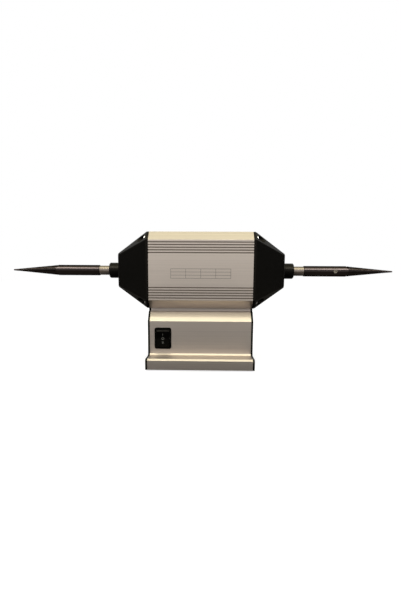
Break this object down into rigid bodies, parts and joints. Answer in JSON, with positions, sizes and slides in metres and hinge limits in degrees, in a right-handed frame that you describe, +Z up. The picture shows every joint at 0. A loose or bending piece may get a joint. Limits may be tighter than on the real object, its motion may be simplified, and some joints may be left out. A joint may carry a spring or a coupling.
{
  "type": "double-ended polishing motor",
  "caption": "Bench polishing motor: square motor on a stepped stand with a rocker switch, tapered screw spindle at each end of the shaft for felt cones and buffs.",
  "frame": {"origin": "on the surface the rubber feet stand on, under the middle of the stand", "axes": "+X along the shaft to the operator's right, -Y towards the operator and the switch, +Z up"},
  "size_m": [0.604, 0.1746, 0.2009],
  "materials": {
    "housing_aluminium": "champagne anodised, brushed along the shaft",
    "stand_aluminium": "champagne anodised, brushed along the length",
    "cap_black": "black powder coat, satin",
    "collar_black": "black anodised, turned",
    "side_black": "black anodised, satin",
    "spindle_steel": "blackened, polished",
    "shaft_steel": "ground",
    "bright_steel": "zinc plated",
    "bearing_steel": "ground and polished",
    "cage_brass": "pressed",
    "spring_steel": "drawn",
    "core_steel": "stacked laminations",
    "winding_copper": "varnished copper",
    "commutator_copper": "turned copper",
    "contact_brass": "pressed",
    "insulator_brown": "moulded",
    "brush_carbon": "pressed carbon",
    "magnet_ferrite": "ground",
    "switch_black": "moulded, satin",
    "rocker_black": "moulded, semi-gloss",
    "inlet_black": "moulded",
    "board_green": "solder resist",
    "block_grey": "moulded",
    "component_black": "moulded",
    "capacitor_yellow": "moulded",
    "lead_black": "insulation",
    "lead_green": "insulation",
    "foot_rubber": "moulded",
    "seal_felt": "felt",
    "plate_silver": "blank, satin",
    "base_steel": "zinc plated sheet"
  },
  "bodies": {
    "stand": {"motor_housing": "housing_aluminium", "stand_extrusion": "stand_aluminium", "left_end_cap": "cap_black", "right_end_cap": "cap_black", "left_nose_collar": "collar_black", "right_nose_collar": "collar_black", "left_side_plate": "side_black", "right_side_plate": "side_black", "cap_screws": "bright_steel", "side_plate_screws": "bright_steel", "bottom_plate_screws": "bright_steel", "motor_mount_bolts": "bright_steel", "inlet_fasteners": "bright_steel", "board_screws": "bright_steel", "brush_plate_screws": "bright_steel", "switch_pivot_pin": "bright_steel", "left_bearing_outer_ring": "bearing_steel", "right_bearing_outer_ring": "bearing_steel", "bearing_shields": "bearing_steel", "preload_springs": "spring_steel", "magnet_clips": "spring_steel", "upper_brush_spring": "spring_steel", "lower_brush_spring": "spring_steel", "flux_ring": "core_steel", "brush_holders": "contact_brass", "inlet_pins": "contact_brass", "switch_terminals": "contact_brass", "board_standoffs": "contact_brass", "brush_plate": "insulator_brown", "field_magnets": "magnet_ferrite", "switch_body": "switch_black", "mains_inlet": "inlet_black", "control_board": "board_green", "terminal_blocks": "block_grey", "bridge_rectifier": "component_black", "suppressor_capacitor": "capacitor_yellow", "supply_leads": "lead_black", "motor_leads": "lead_black", "earth_lead": "lead_green", "rubber_feet": "foot_rubber", "lead_grommet": "foot_rubber", "shaft_seals": "seal_felt", "rating_plate": "plate_silver", "bottom_plate": "base_steel"},
    "rotor": {"rotor_shaft": "shaft_steel", "armature_core": "core_steel", "armature_windings": "winding_copper", "commutator_hub": "insulator_brown", "commutator_bars": "commutator_copper", "bearing_inner_rings": "bearing_steel", "left_spindle": "spindle_steel", "right_spindle": "spindle_steel", "spindle_set_screws": "bright_steel"},
    "left_ball_row": {"left_bearing_balls": "bearing_steel", "left_bearing_cage": "cage_brass"},
    "right_ball_row": {"right_bearing_balls": "bearing_steel", "right_bearing_cage": "cage_brass"},
    "rocker": {"switch_rocker": "rocker_black"},
    "upper_brush_body": {"upper_brush": "brush_carbon"},
    "lower_brush_body": {"lower_brush": "brush_carbon"}
  },
  "joints": [
    {"name": "rotor_spin", "type": "hinge", "parent": "stand", "child": "rotor", "pos_m": [0, 0, 0.1443], "axis": [1, 0, 0], "continuous": true},
    {"name": "left_ball_row_spin", "type": "hinge", "parent": "stand", "child": "left_ball_row", "pos_m": [-0.1153, 0, 0.1443], "axis": [1, 0, 0], "continuous": true},
    {"name": "right_ball_row_spin", "type": "hinge", "parent": "stand", "child": "right_ball_row", "pos_m": [0.1153, 0, 0.1443], "axis": [1, 0, 0], "continuous": true},
    {"name": "switch_rock", "type": "hinge", "parent": "stand", "child": "rocker", "pos_m": [-0.056, -0.0533, 0.0433], "axis": [1, 0, 0], "range_deg": [-10, 10]},
    {"name": "upper_brush_slide", "type": "slide", "parent": "stand", "child": "upper_brush_body", "axis": [0, 0, 1], "range_m": [0, 0.002], "stiffness_N_per_m": 300, "springref_m": -0.01, "deforming": ["upper_brush_spring"]},
    {"name": "lower_brush_slide", "type": "slide", "parent": "stand", "child": "lower_brush_body", "axis": [0, 0, -1], "range_m": [0, 0.002], "stiffness_N_per_m": 300, "springref_m": -0.01, "deforming": ["lower_brush_spring"]}
  ],
  "couplings": [
    {"joint": "left_ball_row_spin", "follows": "rotor_spin", "ratio": 0.38},
    {"joint": "right_ball_row_spin", "follows": "rotor_spin", "ratio": 0.38}
  ]
}
